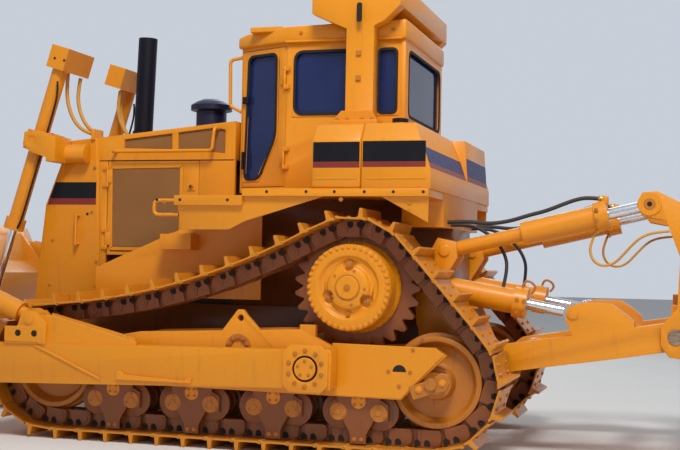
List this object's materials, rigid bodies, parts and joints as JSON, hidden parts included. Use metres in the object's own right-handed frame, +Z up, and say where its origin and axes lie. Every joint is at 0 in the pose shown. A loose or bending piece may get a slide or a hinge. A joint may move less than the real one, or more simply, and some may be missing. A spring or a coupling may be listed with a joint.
{
  "type": "bulldozer",
  "caption": "Crawler bulldozer with a high sprocket, an enclosed cab under a roll-over bar, a semi-U blade on push arms and a rear ripper",
  "frame": {"origin": "on the ground under the middle of the bounding box", "axes": "+X forward to the blade, +Y to the driver's left, +Z up"},
  "size_m": [8.263, 4.31, 3.99],
  "materials": {
    "tractor_paint": "satin yellow-orange enamel with dust",
    "track_steel": "dark worn steel with dry soil",
    "dark_iron": "dark casting",
    "black_paint": "black enamel",
    "blue_plastic": "dark blue plastic",
    "cab_window": "tinted glass",
    "seat_fabric": "dark woven cloth",
    "black_plastic": "black moulding",
    "worn_steel": "bare steel, worn bright",
    "yellow_hose": "hose in a yellow sleeve",
    "black_hose": "black rubber hose",
    "rod_chrome": "ground chrome"
  },
  "bodies": {
    "machine": {"track_left": "track_steel", "track_right": "track_steel", "sprockets": "track_steel", "final_drives": "tractor_paint", "idlers": "track_steel", "track_rollers": "track_steel", "bogies": "tractor_paint", "track_frames": "tractor_paint", "equaliser_bar": "tractor_paint", "main_frame": "tractor_paint", "engine_block": "dark_iron", "radiator_guard": "tractor_paint", "radiator_grille": "black_paint", "hood": "tractor_paint", "exhaust_stack": "black_paint", "air_precleaner": "blue_plastic", "fenders": "tractor_paint", "side_tanks": "tractor_paint", "fuel_tank": "tractor_paint", "cab_shell": "tractor_paint", "cab_glass": "cab_window", "cab_roof": "tractor_paint", "operator_seat": "seat_fabric", "dashboard": "black_plastic", "rollover_bar": "tractor_paint", "lift_yokes": "tractor_paint", "ripper_bracket": "tractor_paint", "handrails": "tractor_paint", "lift_hose_aft_left": "yellow_hose", "lift_hose_aft_right": "yellow_hose", "lift_hose_fore_left": "yellow_hose", "lift_hose_fore_right": "yellow_hose", "rise_hose_left": "black_hose", "rise_hose_right": "black_hose"},
    "push_frame": {"push_arms": "tractor_paint", "diagonal_brace": "tractor_paint"},
    "blade": {"blade": "tractor_paint", "cutting_edge": "worn_steel"},
    "lift_barrels": {"lift_barrels": "tractor_paint"},
    "lift_rods": {"lift_rods": "rod_chrome"},
    "tilt_barrels": {"tilt_barrels": "tractor_paint"},
    "tilt_rods": {"tilt_rods": "rod_chrome"},
    "ripper_frame": {"ripper_frame": "tractor_paint"},
    "ripper_pins": {"ripper_pins": "worn_steel"},
    "ripper_beam": {"ripper_beam": "tractor_paint", "ripper_shank": "tractor_paint"},
    "ripper_lift_barrels": {"ripper_lift_barrels": "tractor_paint"},
    "ripper_lift_rods": {"ripper_lift_rods": "rod_chrome"},
    "tip_barrels": {"tip_barrels": "tractor_paint", "tip_hose_left": "black_hose", "tip_hose_right": "black_hose", "tip_loop_left": "yellow_hose", "tip_loop_right": "yellow_hose"},
    "tip_rods": {"tip_rods": "rod_chrome"},
    "cab_door_left": {"cab_door_left": "tractor_paint", "door_glass_left": "cab_window"},
    "cab_door_right": {"cab_door_right": "tractor_paint", "door_glass_right": "cab_window"},
    "engine_door_left": {"engine_door_left": "tractor_paint"},
    "engine_door_right": {"engine_door_right": "tractor_paint"}
  },
  "joints": [
    {"name": "blade_lift", "type": "hinge", "parent": "machine", "child": "push_frame", "pos_m": [-1.0065, 0, 0.728], "axis": [0, -1, 0], "range_deg": [-7.45, 16.9]},
    {"name": "blade_pitch", "type": "hinge", "parent": "push_frame", "child": "blade", "pos_m": [2.7615, 0, 0.62], "axis": [0, -1, 0], "range_deg": [-5, 5]},
    {"name": "lift_barrel_swing", "type": "hinge", "parent": "machine", "child": "lift_barrels", "pos_m": [2.0115, 0, 2.68], "axis": [0, -1, 0], "range_deg": [-4.2, 9]},
    {"name": "lift_rod_slide", "type": "slide", "parent": "lift_barrels", "child": "lift_rods", "axis": [0.2892, 0, -0.9573], "range_m": [-1.035, 0.458]},
    {"name": "tilt_barrel_swing", "type": "hinge", "parent": "push_frame", "child": "tilt_barrels", "pos_m": [1.5095, 0, 1.05], "axis": [0, -1, 0], "range_deg": [-2, 2]},
    {"name": "tilt_rod_slide", "type": "slide", "parent": "tilt_barrels", "child": "tilt_rods", "axis": [0.9291, 0, 0.3698], "range_m": [-0.078, 0.078]},
    {"name": "ripper_lift", "type": "hinge", "parent": "machine", "child": "ripper_frame", "pos_m": [-2.1545, 0, 0.632], "axis": [0, 1, 0], "range_deg": [-40, 22.5]},
    {"name": "ripper_level", "type": "hinge", "parent": "ripper_frame", "child": "ripper_pins", "pos_m": [-3.8415, 0, 1.034], "axis": [0, 1, 0], "range_deg": [-23, 40.5]},
    {"name": "ripper_tip", "type": "hinge", "parent": "ripper_pins", "child": "ripper_beam", "pos_m": [-3.8415, 0, 1.034], "axis": [0, 1, 0], "range_deg": [-12, 12]},
    {"name": "ripper_lift_barrel_swing", "type": "hinge", "parent": "machine", "child": "ripper_lift_barrels", "pos_m": [-1.7885, 0, 1.404], "axis": [0, 1, 0], "range_deg": [-25, 14.5], "deforming": ["rise_hose_left", "rise_hose_right"]},
    {"name": "ripper_lift_rod_slide", "type": "slide", "parent": "ripper_lift_barrels", "child": "ripper_lift_rods", "axis": [-0.9868, 0, -0.1621], "range_m": [-0.258, 0.456]},
    {"name": "tip_barrel_swing", "type": "hinge", "parent": "machine", "child": "tip_barrels", "pos_m": [-1.9415, 0, 1.703], "axis": [0, 1, 0], "range_deg": [-40.5, 23], "deforming": ["tip_hose_left", "tip_hose_right"]},
    {"name": "tip_rod_slide", "type": "slide", "parent": "tip_barrels", "child": "tip_rods", "axis": [-0.9728, 0, 0.2318], "range_m": [-0.23, 0.23], "deforming": ["tip_loop_left", "tip_loop_right"]},
    {"name": "cab_door_left_hinge", "type": "hinge", "parent": "machine", "child": "cab_door_left", "pos_m": [-0.46609, 0.7687, 2.8], "axis": [0, 0, 1], "range_deg": [0, 110]},
    {"name": "cab_door_right_hinge", "type": "hinge", "parent": "machine", "child": "cab_door_right", "pos_m": [-0.46609, -0.7687, 2.8], "axis": [0, 0, -1], "range_deg": [0, 110]},
    {"name": "engine_door_left_hinge", "type": "hinge", "parent": "machine", "child": "engine_door_left", "pos_m": [1.3615, 0.567, 2], "axis": [0, 0, -1], "range_deg": [0, 110]},
    {"name": "engine_door_right_hinge", "type": "hinge", "parent": "machine", "child": "engine_door_right", "pos_m": [1.3615, -0.567, 2], "axis": [0, 0, 1], "range_deg": [0, 110]}
  ],
  "couplings": [
    {"joint": "lift_barrel_swing", "follows": "blade_lift", "ratio": 0.5062},
    {"joint": "lift_rod_slide", "follows": "blade_lift", "m_per_rad": -3.4855},
    {"joint": "tilt_barrel_swing", "follows": "blade_pitch", "ratio": 0.3245},
    {"joint": "tilt_rod_slide", "follows": "blade_pitch", "m_per_rad": -0.8618},
    {"joint": "ripper_level", "follows": "ripper_lift", "ratio": -1},
    {"joint": "ripper_lift_barrel_swing", "follows": "ripper_lift", "ratio": 0.6035},
    {"joint": "ripper_lift_rod_slide", "follows": "ripper_lift", "m_per_rad": -0.646},
    {"joint": "tip_barrel_swing", "follows": "ripper_lift", "ratio": 1},
    {"joint": "tip_rod_slide", "follows": "ripper_tip", "m_per_rad": -1.0841}
  ]
}
